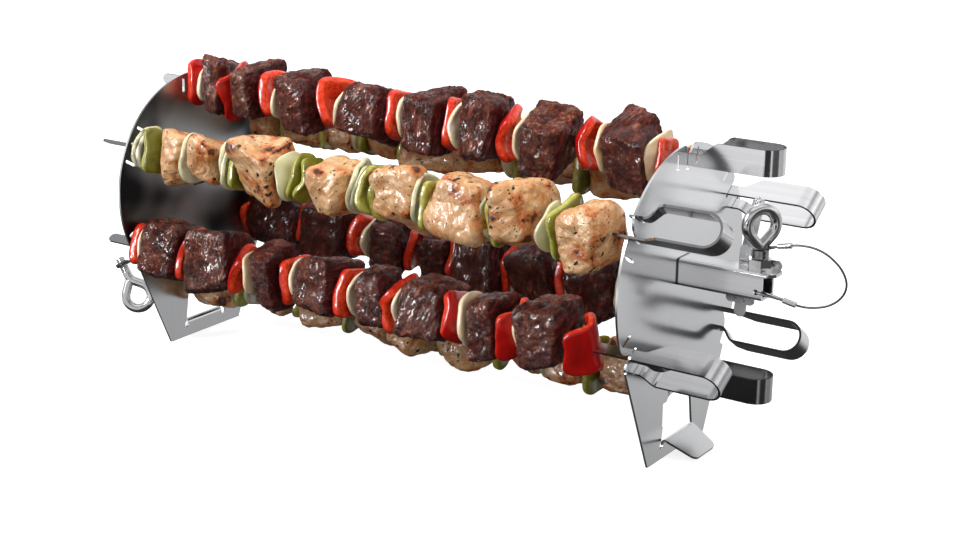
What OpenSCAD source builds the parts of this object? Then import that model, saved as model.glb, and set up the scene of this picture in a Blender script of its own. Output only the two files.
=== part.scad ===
// Rotisserie spit roaster: two end plates on a square spit hub each,
// six flat skewers with hairpin handles, and eye bolts on wire lanyards.
// Millimetres. X runs along the spit towards the handles, Z is up.
// The origin is on the spit axis, midway between the end plates.

/* [End plates] */
// Distance over the outer faces of the two end plates
span = 400; // [396:1:404]
// Radius of the round part of an end plate
plate_r = 80; // [79:0.5:81]
// Sheet thickness of an end plate
plate_t = 1.5; // [1.2:0.1:1.6]
// Height of the spit axis above the table
axis_h = 116; // [115:0.5:118]
// Width of a plate's foot edge
foot_w = 73; // [70:1:76]

/* [Slots] */
// Radius where a blade slot starts
slot_r0 = 64; // [62:0.5:65]
// Width of every slot
slot_w = 2.2; // [2.1:0.1:2.4]
// Distance from a blade slot to the arm slots beside it
arm_gap = 12.5; // [12:0.5:13]
// Radius of the rounded lead-in at an open slot
lead_r = 12.5; // [11:0.5:13]

/* [Leg window and foot tab] */
// Half width of the window at the fold
window_half = 20.5; // [20:0.5:21.5]
// Half width of the window near its top
window_top_half = 16.5; // [16:0.5:17.5]
// Height of the window's top edge above the table
window_top = 40; // [38:0.5:41]
// Height of the bend centre above the table
fold_h = 9.5; // [9:0.5:10]
// Downward slope of the foot tab in degrees
tab_slope = 26; // [24:1:27]
// Length of the flat part of the foot tab
tab_l = 20.5; // [19:0.5:21]

/* [Spit hub] */
// Outside width of the square hub tube
hub_w = 17; // [16.5:0.5:18]
// Wall of the hub tube
hub_wall = 2; // [1.8:0.1:2]
// Height of the tube's centre above the spit axis
hub_lift = 2.5; // [2:0.5:3]
// Length of the hub tube
hub_l = 56; // [54:1:58]
// How far the hub's top wall runs past its sides
hub_lip = 7; // [5:0.5:8]

/* [Eye bolts] */
// Diameter of the eye bolt's rod
rod_d = 7; // [6.5:0.1:7]
// Outside diameter of the eye
eye_d = 26; // [25:0.5:27]
// Height of the eye's centre above the spit axis
eye_z = 38.5; // [38:0.5:40]
// Turn of the eye about the bolt in degrees
eye_turn = 53; // [45:1:80]
// Nut width across flats
nut_af = 13; // [12:0.5:14]
// Nut height
nut_h = 7; // [6.5:0.1:7.2]

/* [Skewers] */
// Width of the blade
blade_w = 7.6; // [7:0.1:8]
// Thickness of the flat strip
strip_t = 1.5; // [1.2:0.1:1.6]
// Width of the handle band
band_w = 16; // [15:0.5:17]
// Radius of the hairpin, to the middle of the strip
pin_r = 10; // [9.5:0.5:10.5]
// How far the handle stands out from the plate
handle_l = 57.5; // [55:0.5:60]
// How far a blade's tongue passes the far plate
tongue_l = 30; // [28:1:32]
// Reach of the free arm's tip through its plate
tip_in = 6.5; // [6:0.5:7]

/* [Food] */
// Size of a meat cube across the blade
meat_s = 40; // [36:1:42]
// Size of a piece of pepper across the blade
pepper_s = 36; // [32:1:38]
// Diameter of an onion layer
onion_d = 36; // [32:1:38]
// Gap left between two pieces
food_gap = 0.6; // [0.5:0.1:1]

/* [Lanyards] */
// Diameter of the wire rope
wire_d = 1.4; // [1.2:0.1:1.5]
// Outside diameter of a crimp sleeve
sleeve_d = 3.6; // [3.4:0.1:4]
// Length of a crimp sleeve
sleeve_l = 9; // [8:0.5:9]

/* [Hidden] */
$fn = 64;

face_x = span / 2;                        // outer face of the right plate
blade_r = 67 + blade_w / 2;               // radius of a blade's centre line

// Foot: the corner, and the tangent from it to the round part
foot_dist = norm([foot_w / 2, axis_h]);
tangent_a = atan2(-axis_h, foot_w / 2) + acos(plate_r / foot_dist);
tangent_pt = [plate_r * cos(tangent_a), plate_r * sin(tangent_a)];

// Hub tube, in the plate's own (y, z)
hub_top = hub_lift + hub_w / 2;
bore_w = hub_w - 2 * hub_wall;

// Eye bolt stack on the right hub
bolt_x = face_x + 50;
nut_top = hub_top + nut_h;
washer_z = nut_top + 0.6;
washer_h = 4.9;
loop_z = washer_z + washer_h + wire_d / 2 + 0.2;
bolt_tip_z = hub_top - hub_wall - 3;
loop_r = rod_d / 2 + wire_d / 2 + 0.4;
loop_reach = 11;                          // loop centre to the sleeve

// Left eye bolt, hanging on its lanyard with the eye down
hang_at = [-271.5, -11, -76.2];           // the loop round the shank
hang_tilt = 34;                           // lean of the shank from vertical
bolt_l = eye_z - bolt_tip_z;              // tip to the eye's centre

// Strip clip behind the right hub
clip_w = 7.6;
clip_t = 1.2;
strip_lean = 9.5;                         // of the tail, away from the eye bolt
rivets = [[34.5, -12.4], [28.3, -12]];

// Hole for the lanyard in the hub's near wall
hub_hole_x = face_x + 52.2;
hub_hole_z = -0.6;
// Legs of the loop in that hole: [x from the plate, half gap, z]
RIGHT_LEGS = [
    [69.5, 0.75, -2.4], [64.5, 1.3, -1.7], [58.5, 1.95, -1],
    [54.4, 1.95, -0.7], [52.6, 1.1, -0.6]
];
LEFT_LEGS = [
    [60.4, 0.75, -10], [60.2, 1.3, -7], [58.8, 1.9, -3.4],
    [56.2, 1.95, -1.5], [54.2, 1.95, -0.8], [52.6, 1.1, -0.6]
];

// Each skewer: [slot angle, free arm swapped to the other side]
SKEWERS = [[90, false], [34, false], [-34, false], [-90, true], [-150, true], [150, false]];
slot_angles = [for (q = SKEWERS) q[0]];

// What is threaded on each skewer from the left plate: [kind, length].
// Kinds: m meat, p pepper, o onion.
KEBAB_1 = [
    ["p", 12], ["o", 4], ["m", 17], ["p", 15], ["m", 20], ["p", 13], ["o", 6],
    ["m", 31], ["p", 18], ["o", 5], ["m", 38], ["p", 10], ["o", 4], ["m", 30],
    ["p", 10], ["o", 5], ["m", 26], ["p", 17], ["o", 6], ["m", 30], ["p", 23],
    ["o", 6], ["m", 29], ["o", 6], ["p", 4]
];
KEBAB_2 = [
    ["m", 26], ["p", 11], ["m", 29], ["p", 5], ["m", 25], ["o", 6], ["p", 6],
    ["m", 24], ["o", 9], ["p", 5], ["m", 36], ["o", 6], ["m", 33], ["o", 11],
    ["p", 7], ["m", 41], ["p", 9], ["m", 36], ["o", 7], ["p", 10], ["m", 32]
];
KEBAB_3 = [
    ["p", 7], ["m", 45], ["p", 10], ["m", 37], ["p", 14], ["o", 4], ["m", 30],
    ["p", 16], ["m", 25], ["p", 10], ["m", 35], ["p", 9], ["m", 33], ["p", 14],
    ["m", 34], ["o", 5], ["p", 13], ["m", 34], ["p", 9]
];
KEBAB_4 = [
    ["o", 6], ["m", 30], ["p", 8], ["o", 6], ["m", 38], ["p", 8], ["o", 5],
    ["m", 33], ["p", 6], ["m", 39], ["o", 5], ["m", 28], ["p", 9], ["o", 6],
    ["m", 31], ["p", 9], ["m", 28], ["o", 5], ["m", 29], ["p", 7], ["m", 38]
];
KEBAB_5 = [
    ["p", 10], ["o", 4], ["m", 30], ["p", 12], ["m", 34], ["p", 16], ["o", 6],
    ["m", 24], ["p", 12], ["o", 4], ["m", 34], ["p", 8], ["o", 4], ["m", 21],
    ["p", 16], ["o", 4], ["m", 27], ["p", 15], ["o", 5], ["m", 22], ["p", 15],
    ["o", 5], ["m", 26], ["p", 23]
];
KEBAB_6 = [
    ["o", 11], ["p", 11], ["m", 22], ["o", 8], ["m", 26], ["o", 11], ["p", 7],
    ["m", 32], ["o", 9], ["p", 18], ["m", 31], ["o", 11], ["p", 17], ["m", 22],
    ["o", 10], ["p", 6], ["m", 36], ["o", 8], ["p", 8], ["m", 27], ["o", 8],
    ["p", 11], ["m", 28]
];
KEBABS = [KEBAB_1, KEBAB_2, KEBAB_3, KEBAB_4, KEBAB_5, KEBAB_6];
// Where each row of food starts, next to the left plate
FOOD_X = [-197, -188, -197, -190, -197, -190];
// Meat is beef or chicken
BEEF = [true, false, true, false, true, false];

// Route of the right lanyard, from the hub's sleeve to the bolt's sleeve
RIGHT_ROUTE = [
    [face_x + 77.7, -6.5, -4.3], [face_x + 83, -6.2, -4.6], [face_x + 89, -5.9, -3.8],
    [face_x + 95, -5.5, -2.1], [face_x + 100.2, -5, 0.8], [face_x + 104, -4.4, 4.6],
    [face_x + 106, -3.8, 8.8], [face_x + 106.2, -3.2, 13.2], [face_x + 104.4, -2.6, 17.6],
    [face_x + 101.2, -2, 21.6], [face_x + 97, -1.5, 24.9], [face_x + 92.2, -1, 27.6],
    [face_x + 87, -0.6, 29.3], [face_x + 81.6, -0.3, 30.1], [face_x + 76.4, 0, 30],
    [face_x + 73.2, 0, 29.7], [face_x + 70.2, 0, 29.1]
];
// Route of the left lanyard, from the hub's sleeve to the bolt's sleeve
LEFT_ROUTE = [
    [-260.4, -7.4, -19.4], [-260.2, -7, -24], [-258.9, -4.6, -29],
    [-256.6, 0, -33.4], [-253.6, 6, -37.6], [-251, 11.4, -42.4],
    [-249.6, 14.8, -48], [-249.8, 15.2, -54], [-251.2, 12.8, -59.2],
    [-253.6, 8.6, -63.2], [-256.2, 4.8, -66], [-258.4, 2.1, -67.5]
];

// Points on an arc
function arc(c, r, a0, a1, n) =
    [for (i = [0:n]) let (a = a0 + (a1 - a0) * i / n) [c[0] + r * cos(a), c[1] + r * sin(a)]];
// Length of the first n pieces in a row of food
function run(row, n) = n == 0 ? 0 : row[n - 1][1] + run(row, n - 1);
// Smooth curve through a route: n steps between points
function bend(p0, p1, p2, p3, t) =
    0.5 * ((2 * p1) + (p2 - p0) * t + (2 * p0 - 5 * p1 + 4 * p2 - p3) * t * t
    + (3 * p1 - p0 - 3 * p2 + p3) * t * t * t);
function smooth(p, n) = concat(
    [for (i = [0:len(p) - 2], k = [0:n - 1])
        bend(p[max(i - 1, 0)], p[i], p[i + 1], p[min(i + 2, len(p) - 1)], k / n)],
    [p[len(p) - 1]]);
function unit(v) = v / norm(v);

// Stands a profile drawn in (y, z) up, with its thickness along +X
module sheet(t) {
    rotate([90, 0, 90]) linear_extrude(t) children();
}

// A wire through a list of points
module wire(p, d, sides = 8, ref = [0, 1, 0]) {
    n = len(p);
    ring = [for (i = [0:n - 1])
        let (
            t = unit(p[min(i + 1, n - 1)] - p[max(i - 1, 0)]),
            u = unit(cross(t, ref)),
            v = cross(t, u)
        )
        for (k = [0:sides - 1])
            p[i] + d / 2 * (u * cos(360 * k / sides) + v * sin(360 * k / sides))];
    side = [for (i = [0:n - 2], k = [0:sides - 1])
        let (a = i * sides + k, b = i * sides + (k + 1) % sides)
        [a, b, b + sides, a + sides]];
    polyhedron(
        points = ring,
        faces = concat(
            [[for (k = [0:sides - 1]) sides - 1 - k]], side,
            [[for (k = [0:sides - 1]) (n - 1) * sides + k]]),
        convexity = 6);
}

module plate_outline() {
    circle(plate_r, $fn = 128);
    polygon([
        [-foot_w / 2, -axis_h], [foot_w / 2, -axis_h], tangent_pt,
        [0, 0], [-tangent_pt[0], tangent_pt[1]]
    ]);
}

module leg_window() {
    base = fold_h - axis_h;
    top = window_top - axis_h;
    r = 8;
    polygon(concat(
        [[-window_half, base], [window_half, base]],
        arc([window_top_half - r, top - r], r, 10, 90, 8),
        arc([r - window_top_half, top - r], r, 90, 170, 8)));
    // Bend relief at both ends of the fold
    for (s = [-1, 1]) translate([s * (window_half - 0.8), base - 0.4]) circle(2.2, $fn = 32);
}

// A closed slot with round ends, pointing away from the axis
module slot(r0, r1, off) {
    w = slot_w / 2;
    translate([r0 + w, off - w]) square([r1 - r0 - slot_w, slot_w]);
    translate([r0 + w, off]) circle(w, $fn = 24);
    translate([r1 - w, off]) circle(w, $fn = 24);
}

// A blade slot open at the rim, with a rounded lead-in on one side
module open_slot() {
    w = slot_w / 2;
    translate([slot_r0 + w, -w]) square([30, slot_w]);
    translate([slot_r0 + w, 0]) circle(w, $fn = 24);
    polygon(concat(
        arc([67, -w - lead_r], lead_r, 90, 0, 12),
        [[67 + lead_r, -w - lead_r - 6], [95, -w - lead_r - 6], [95, -w]]));
    polygon(concat(arc([76, w + 4.5], 4.5, -90, 0, 6), [[95, w + 4.5], [95, w]]));
}

module end_plate_profile(open_rim) {
    difference() {
        plate_outline();
        leg_window();
        translate([0, hub_lift]) square(bore_w, center = true);
        for (a = slot_angles) rotate(a) {
            if (open_rim) open_slot();
            else slot(slot_r0, 77, 0);
            for (s = [-1, 1]) slot(66, 76.4, s * arm_gap);
        }
    }
}

// The tab cut from the window and folded out as a foot, for the right plate
module foot_tab() {
    ri = 1.5;
    ro = ri + plate_t;
    half = window_half - 2.8;
    turn = 90 - tab_slope;
    dir = [cos(tab_slope), -sin(tab_slope)];
    translate([face_x + ri, 0, fold_h - axis_h]) difference() {
        // Drawn in (x, z): up from the plate, round the bend and down the slope
        rotate([90, 0, 0]) translate([0, 0, -half - 2]) linear_extrude(2 * half + 4)
            polygon(concat(
                [[-ri, -1], [-ro, -1]],
                arc([0, 0], ro, 180, turn, 8),
                [arc([0, 0], ro, turn, turn, 1)[0] + tab_l * dir],
                [arc([0, 0], ri, turn, turn, 1)[0] + tab_l * dir],
                arc([0, 0], ri, turn, 180, 8)));
        rotate([0, tab_slope, 0]) translate([0, 0, -8]) linear_extrude(16)
            for (s = [0, 1]) mirror([0, s]) tab_side(half);
    }
}

// What is cut off one side of the tab: its taper and its round corner
module tab_side(half) {
    tip = half - 3.4;
    r = 5;
    polygon(concat(
        [[-9, half + 4], [-9, half], [0.6, half]],
        arc([tab_l - r, tip - r], r, 82, 0, 6),
        [[tab_l + 2, tip - r], [tab_l + 2, half + 4]]));
}

module right_end_plate() {
    color([0.74, 0.75, 0.76]) {
        translate([face_x - plate_t, 0, 0]) sheet(plate_t) end_plate_profile(true);
        foot_tab();
    }
}

module left_end_plate() {
    color([0.7, 0.71, 0.72]) mirror([1, 0, 0]) {
        translate([face_x - plate_t, 0, 0]) sheet(plate_t) end_plate_profile(false);
        foot_tab();
    }
}

// Square tube with rounded edges, welded on the plate, open at its end
module hub_tube() {
    r = 2;
    h = hub_w / 2;
    difference() {
        translate([face_x, 0, hub_lift]) sheet(hub_l + hub_lip) difference() {
            union() {
                square([hub_w, hub_w - 2 * r], center = true);
                square([hub_w - 2 * r, hub_w], center = true);
                for (sy = [-1, 1], sz = [-1, 1])
                    translate([sy * (h - r), sz * (h - r)]) circle(r, $fn = 32);
            }
            square(bore_w, center = true);
        }
        // Only the top wall runs on as a lip, with chamfered corners
        translate([face_x + hub_l, -h - 1, hub_lift - h - 1])
            cube([hub_lip + 1, hub_w + 2, hub_w + 1 - hub_wall]);
        for (s = [-1, 1])
            translate([face_x + hub_l + hub_lip, s * h, 0]) rotate([0, 0, 45])
                cube([6, 6, 60], center = true);
        // Bolt hole, and the lanyard's hole in the near wall
        translate([bolt_x, 0, hub_top - hub_wall - 1]) cylinder(r = 4, h = hub_wall + 2);
        translate([hub_hole_x, -h - 1, hub_hole_z]) rotate([-90, 0, 0])
            cylinder(r = 1.7, h = hub_wall + 2, $fn = 32);
    }
}

module right_hub_tube() {
    color([0.78, 0.79, 0.8]) hub_tube();
}

module left_hub_tube() {
    color([0.78, 0.79, 0.8]) mirror([1, 0, 0]) hub_tube();
}

module clamp_nut() {
    translate([bolt_x, 0, hub_top]) difference() {
        union() {
            cylinder(d = nut_af / cos(30), h = nut_h, $fn = 6);
            for (a = [0, 90, 180, 270]) rotate([0, 0, a + 45])
                translate([nut_af / 2 - 1, -1.5, 0]) cube([2.4, 3, 1.4]);
        }
        translate([0, 0, -1]) cylinder(r = rod_d / 2 + 0.08, h = nut_h + 2);
    }
}

module right_clamp_nut() {
    color([0.8, 0.8, 0.81]) clamp_nut();
}

module left_clamp_nut() {
    color([0.8, 0.8, 0.81]) mirror([1, 0, 0]) clamp_nut();
}

// Eye bolt with its eye's centre at the origin and its shank pointing down
module eye_bolt() {
    rotate([90, 0, 0]) rotate_extrude($fn = 96)
        translate([(eye_d - rod_d) / 2, 0]) circle(rod_d / 2, $fn = 48);
    translate([0, 0, -bolt_l]) cylinder(d = rod_d, h = bolt_l - (eye_d - rod_d) / 2);
}

// Two washers locked on the shank below the eye
module jam_washers() {
    difference() {
        union() {
            cylinder(d = 10.4, h = 2);
            translate([0, 0, 2]) cylinder(d = 9.4, h = 0.5);
            translate([0, 0, 2.5]) cylinder(d = 10.4, h = washer_h - 2.5);
        }
        translate([0, 0, -1]) cylinder(d = rod_d, h = washer_h + 2);
    }
}

module right_eye_bolt() {
    color([0.82, 0.82, 0.83])
        translate([bolt_x, 0, eye_z]) rotate([0, 0, eye_turn]) eye_bolt();
}

module right_jam_washers() {
    color([0.62, 0.62, 0.63]) translate([bolt_x, 0, washer_z]) jam_washers();
}

// The left bolt's own frame: eye down, loop height at the origin
module hang() {
    translate(hang_at) rotate([0, -hang_tilt, 0]) rotate([0, 0, 40]) rotate([180, 0, 0])
        children();
}

module left_eye_bolt() {
    color([0.82, 0.82, 0.83]) hang() translate([0, 0, bolt_l - 6]) eye_bolt();
}

// Thin washer that keeps the loop on the loose bolt
module left_stop_washer() {
    color([0.5, 0.5, 0.51]) hang() translate([0, 0, -wire_d / 2 - 1.1]) difference() {
        cylinder(d = 11, h = 0.9);
        translate([0, 0, -1]) cylinder(d = rod_d, h = 3);
    }
}

// Height of the loop's legs: they rise towards the sleeve
function leg(x, y, rise) = [x, y, x > 0 ? rise * pow(x / loop_reach, 2) : 0];

// Loop of wire round the Z axis, closed by a sleeve on +X
module wire_loop(rise) {
    s = wire_d / 2 + 0.05;
    a = [for (i = [0:16]) let (t = 48 + 264 * i / 16)
        leg(loop_r * cos(t), loop_r * sin(t), rise)];
    wire(concat(
        [leg(loop_reach - 0.05, s, rise), leg(loop_reach - 3, s + 0.6, rise)], a,
        [leg(loop_reach - 3, -s - 0.6, rise), leg(loop_reach - 0.05, -s, rise)]),
        wire_d, ref = [0, 0, 1]);
}

module loop_sleeve(rise) {
    translate([loop_reach, 0, rise]) rotate([0, 90 - 5 * rise, 0])
        cylinder(d = sleeve_d, h = sleeve_l);
}

// Loop of wire through the hub's wall: from one leg, through the hole, and back
module hub_loop(legs) {
    n = len(legs) - 1;
    wire(smooth(concat(
        [for (q = legs) [q[0] + face_x, -7.45 + q[1], q[2]]],
        [[hub_hole_x - 0.1, -7.45, hub_hole_z]],
        [for (i = [n:-1:0]) [legs[i][0] + face_x, -7.45 - legs[i][1], legs[i][2]]]), 2),
        wire_d, ref = [0, 0.02, 1]);
}

module right_bolt_loop() {
    color([0.55, 0.55, 0.56]) translate([bolt_x, 0, loop_z]) wire_loop(2.6);
}

module right_bolt_sleeve() {
    color([0.72, 0.72, 0.72]) translate([bolt_x, 0, loop_z]) loop_sleeve(2.6);
}

module right_hub_loop() {
    color([0.55, 0.55, 0.56]) hub_loop(RIGHT_LEGS);
}

module right_hub_sleeve() {
    color([0.72, 0.72, 0.72]) translate([face_x + 69.65, -7.44, -2.43])
        rotate([0, 103, 6.5]) cylinder(d = sleeve_d, h = sleeve_l - 1);
}

module right_lanyard_cable() {
    color([0.35, 0.35, 0.36]) wire(smooth(RIGHT_ROUTE, 4), wire_d);
}

module left_bolt_loop() {
    color([0.55, 0.55, 0.56]) hang() wire_loop(0);
}

module left_bolt_sleeve() {
    color([0.72, 0.72, 0.72]) hang() loop_sleeve(0);
}

module left_hub_loop() {
    color([0.55, 0.55, 0.56]) mirror([1, 0, 0]) hub_loop(LEFT_LEGS);
}

module left_hub_sleeve() {
    color([0.72, 0.72, 0.72]) translate([-face_x - 60.4, -7.45, -10.05])
        rotate([180, 0, 0]) cylinder(d = sleeve_d, h = sleeve_l);
}

module left_lanyard_cable() {
    color([0.35, 0.35, 0.36]) wire(smooth(LEFT_ROUTE, 4), wire_d, ref = [1, 0.3, 0]);
}

// A flat bar with round ends, from a to b
module bar(a, b, w) {
    translate(a) rotate(atan2(b[1] - a[1], b[0] - a[0])) {
        translate([0, -w / 2]) square([norm(b - a), w]);
        circle(w / 2, $fn = 48);
        translate([norm(b - a), 0]) circle(w / 2, $fn = 48);
    }
}

// Cross-shaped strip, spot welded to the hub's far wall; its tail leans off the eye
module hub_strip_clip() {
    color([0.76, 0.76, 0.77]) translate([face_x, hub_w / 2, 0]) difference() {
        union() {
            strip_face() {
                bar([34.5, -20], [36.5, 18], clip_w);
                bar([38.5, 12.4], [57.5, 12.4], 6);
                bar([28.3, -12], [40.7, -12.8], 6);
            }
            translate([0, 0, 12]) rotate([-strip_lean, 0, 0])
                strip_face() bar([36.4, 2], [40.3, 35.5], clip_w);
        }
        for (q = rivets) translate([q[0], -1, q[1]])
            rotate([-90, 0, 0]) cylinder(r = 1.6, h = 4, $fn = 32);
    }
}

// Stands a profile drawn in (x, z) on the hub's far wall
module strip_face() {
    translate([0, clip_t, 0]) rotate([90, 0, 0]) linear_extrude(clip_t) children();
}

// Rivets through the strip's lower arm, below the hub
module strip_clip_rivets() {
    color([0.66, 0.66, 0.67])
        for (q = rivets)
            translate([face_x + q[0], hub_w / 2, q[1]]) rotate([-90, 0, 0]) {
                translate([0, 0, -1]) cylinder(r = 2.9, h = 1);
                cylinder(r = 1.6, h = clip_t);
                translate([0, 0, clip_t]) cylinder(r = 2.6, h = 0.8);
            }
}

// Seen along the spit's radius: blade, hairpin, free arm and its bent tip
module skewer_plan() {
    t = strip_t;
    xc = face_x + handle_l - pin_r - t / 2;
    x0 = face_x + 3.5;
    x1 = face_x + 13.5;
    tip_x = face_x - tip_in;
    translate([-face_x - tongue_l, -t / 2]) square([face_x + tongue_l + xc, t]);
    translate([xc, pin_r]) intersection() {
        difference() {
            circle(pin_r + t / 2, $fn = 96);
            circle(pin_r - t / 2, $fn = 96);
        }
        translate([0, -20]) square([30, 40]);
    }
    translate([x1, 2 * pin_r - t / 2]) square([xc - x1, t]);
    translate([tip_x, arm_gap - t / 2]) square([x0 - tip_x, t]);
    // Two opposite curves that lead the arm from its slot to its full gap
    polygon(concat(
        [for (i = [0:12]) s_curve(i / 12, x0, x1, -t / 2)],
        [for (i = [12:-1:0]) s_curve(i / 12, x0, x1, t / 2)]));
}

// Point on the free arm's curve, off to one side of its middle
function s_curve(u, x0, x1, off) =
    let (
        rise = 2 * pin_r - arm_gap,
        slope = rise / (x1 - x0) * PI / 2 * sin(180 * u),
        k = norm([1, slope])
    )
    [x0 + (x1 - x0) * u - off * slope / k, arm_gap + rise * (1 - cos(180 * u)) / 2 + off / k];

// Seen from the side: narrow blade with a round tongue, wide handle band
module skewer_side() {
    h = blade_w / 2;
    polygon(concat(
        arc([-face_x - tongue_l + h, 0], h, 90, 270, 12),
        [[face_x + handle_l + 1, -h], [face_x + handle_l + 1, band_w - h]],
        arc([face_x + 20, band_w - h - 5], 5, 90, 145, 5),
        arc([face_x + 7, h + 4], 4, -35, -90, 4)));
}

module skewer_body() {
    intersection() {
        translate([0, 0, -40]) linear_extrude(80) skewer_plan();
        rotate([90, 0, 0]) translate([0, 0, -40]) linear_extrude(80) skewer_side();
    }
}

// Puts a skewer's own frame in its slots
module in_slot(i) {
    rotate([SKEWERS[i - 1][0] - 90, 0, 0]) translate([0, 0, blade_r]) children();
}

module skewer(i) {
    color([0.72, 0.73, 0.74]) in_slot(i)
        rotate([SKEWERS[i - 1][1] ? 180 : 0, 0, 0]) skewer_body();
}

// Every piece of one kind threaded on a skewer, with its hole for the blade
module kebab(i, kind) {
    row = KEBABS[i - 1];
    in_slot(i) difference() {
        for (j = [0:len(row) - 1]) if (row[j][0] == kind) {
            w = row[j][1] - food_gap;
            translate([FOOD_X[i - 1] + run(row, j), 0, 0])
                rotate([37 * j % 16 - 8, 0, 0]) food_piece(kind, w);
        }
        translate([-300, -strip_t / 2 - 0.4, -blade_w / 2 - 0.4])
            cube([600, strip_t + 0.8, blade_w + 0.8]);
    }
}

module food_piece(kind, w) {
    if (kind == "m") {
        c = 7;
        rotate([90, 0, 90]) linear_extrude(w) difference() {
            square(meat_s, center = true);
            for (a = [0, 90, 180, 270]) rotate(a)
                polygon([[meat_s / 2 - c, meat_s / 2 + 1], [meat_s / 2 + 1, meat_s / 2 - c],
                    [meat_s / 2 + 1, meat_s / 2 + 1]]);
        }
    } else if (kind == "p") {
        rotate([0, 90, 0]) intersection() {
            cylinder(d = pepper_s * 1.16, h = w);
            translate([-pepper_s / 2, -pepper_s / 2, 0]) cube([pepper_s, pepper_s, w]);
        }
    } else {
        rotate([0, 90, 0]) cylinder(d = onion_d, h = w);
    }
}

module meat(i) {
    color(BEEF[i - 1] ? [0.3, 0.16, 0.13] : [0.86, 0.66, 0.46]) kebab(i, "m");
}

module peppers(i) {
    color(BEEF[i - 1] ? [0.78, 0.08, 0.04] : [0.5, 0.54, 0.14]) kebab(i, "p");
}

module onions(i) {
    color([0.86, 0.82, 0.66]) kebab(i, "o");
}

module skewer_1() { skewer(1); }
module skewer_2() { skewer(2); }
module skewer_3() { skewer(3); }
module skewer_4() { skewer(4); }
module skewer_5() { skewer(5); }
module skewer_6() { skewer(6); }

module kebab_1_meat() { meat(1); }
module kebab_1_peppers() { peppers(1); }
module kebab_1_onions() { onions(1); }
module kebab_2_meat() { meat(2); }
module kebab_2_peppers() { peppers(2); }
module kebab_2_onions() { onions(2); }
module kebab_3_meat() { meat(3); }
module kebab_3_peppers() { peppers(3); }
module kebab_3_onions() { onions(3); }
module kebab_4_meat() { meat(4); }
module kebab_4_peppers() { peppers(4); }
module kebab_4_onions() { onions(4); }
module kebab_5_meat() { meat(5); }
module kebab_5_peppers() { peppers(5); }
module kebab_5_onions() { onions(5); }
module kebab_6_meat() { meat(6); }
module kebab_6_peppers() { peppers(6); }
module kebab_6_onions() { onions(6); }

right_end_plate();
right_hub_tube();
right_clamp_nut();
right_eye_bolt();
right_jam_washers();
right_lanyard_cable();
right_bolt_loop();
right_bolt_sleeve();
right_hub_loop();
right_hub_sleeve();
hub_strip_clip();
strip_clip_rivets();
left_end_plate();
left_hub_tube();
left_clamp_nut();
left_eye_bolt();
left_stop_washer();
left_lanyard_cable();
left_bolt_loop();
left_bolt_sleeve();
left_hub_loop();
left_hub_sleeve();
skewer_1();
skewer_2();
skewer_3();
skewer_4();
skewer_5();
skewer_6();
kebab_1_meat();
kebab_1_peppers();
kebab_1_onions();
kebab_2_meat();
kebab_2_peppers();
kebab_2_onions();
kebab_3_meat();
kebab_3_peppers();
kebab_3_onions();
kebab_4_meat();
kebab_4_peppers();
kebab_4_onions();
kebab_5_meat();
kebab_5_peppers();
kebab_5_onions();
kebab_6_meat();
kebab_6_peppers();
kebab_6_onions();
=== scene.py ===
"""Looks of the rotisserie spit roaster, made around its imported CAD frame.

Metres, in the CAD's frame: X runs along the spit towards the handles, Z is up,
and the origin is on the spit's axis, midway between the end plates.
"""

import math

import bpy
import numpy as np
from mathutils import Matrix, Vector


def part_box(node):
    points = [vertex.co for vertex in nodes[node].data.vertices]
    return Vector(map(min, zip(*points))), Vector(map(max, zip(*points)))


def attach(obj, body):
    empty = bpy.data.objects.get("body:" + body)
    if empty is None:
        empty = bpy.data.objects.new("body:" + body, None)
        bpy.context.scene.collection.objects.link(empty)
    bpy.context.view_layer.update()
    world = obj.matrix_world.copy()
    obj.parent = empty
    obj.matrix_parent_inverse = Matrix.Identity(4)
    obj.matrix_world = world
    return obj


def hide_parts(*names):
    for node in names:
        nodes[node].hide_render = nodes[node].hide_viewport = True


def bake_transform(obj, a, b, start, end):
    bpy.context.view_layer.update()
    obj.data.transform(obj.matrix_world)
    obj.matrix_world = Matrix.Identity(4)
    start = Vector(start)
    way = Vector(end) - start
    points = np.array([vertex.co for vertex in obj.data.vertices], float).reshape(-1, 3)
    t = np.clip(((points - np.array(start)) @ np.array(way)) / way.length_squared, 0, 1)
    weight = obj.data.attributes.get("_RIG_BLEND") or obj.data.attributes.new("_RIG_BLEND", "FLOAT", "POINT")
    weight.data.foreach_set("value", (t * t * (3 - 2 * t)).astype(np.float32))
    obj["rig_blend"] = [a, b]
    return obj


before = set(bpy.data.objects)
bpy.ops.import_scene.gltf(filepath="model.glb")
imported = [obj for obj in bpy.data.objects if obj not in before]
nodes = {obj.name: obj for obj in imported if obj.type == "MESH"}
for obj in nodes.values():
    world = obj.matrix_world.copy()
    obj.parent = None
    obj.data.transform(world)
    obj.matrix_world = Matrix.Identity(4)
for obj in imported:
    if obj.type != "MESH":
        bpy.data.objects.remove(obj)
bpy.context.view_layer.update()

MM = 0.001
scene = bpy.context.scene
view_settings = scene.view_settings
view_settings.view_transform = "Standard"

# Sizes shared with the CAD, in mm but for the table, read from its boxes where they can be
FACE_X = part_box("right_hub_tube")[0].x / MM
TABLE_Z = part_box("right_end_plate")[0].z
BLADE_R = 70.8
WIRE_D = 1.4
SLEEVE_D = 3.6
ROD_R = 3.5


def skewer_angle(i):
    """Angle about the spit, in radians, of a skewer's tongue beyond the left plate."""
    left_face = -FACE_X * MM
    points = [v.co for v in nodes[f"skewer_{i}"].data.vertices if v.co.x < left_face]
    middle = sum(points, Vector()) / len(points)
    return math.atan2(middle.z, middle.y)


SKEWER_ANGLES = {i: skewer_angle(i) for i in range(1, 7)}


# ---------------------------------------------------------------- camera

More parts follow.
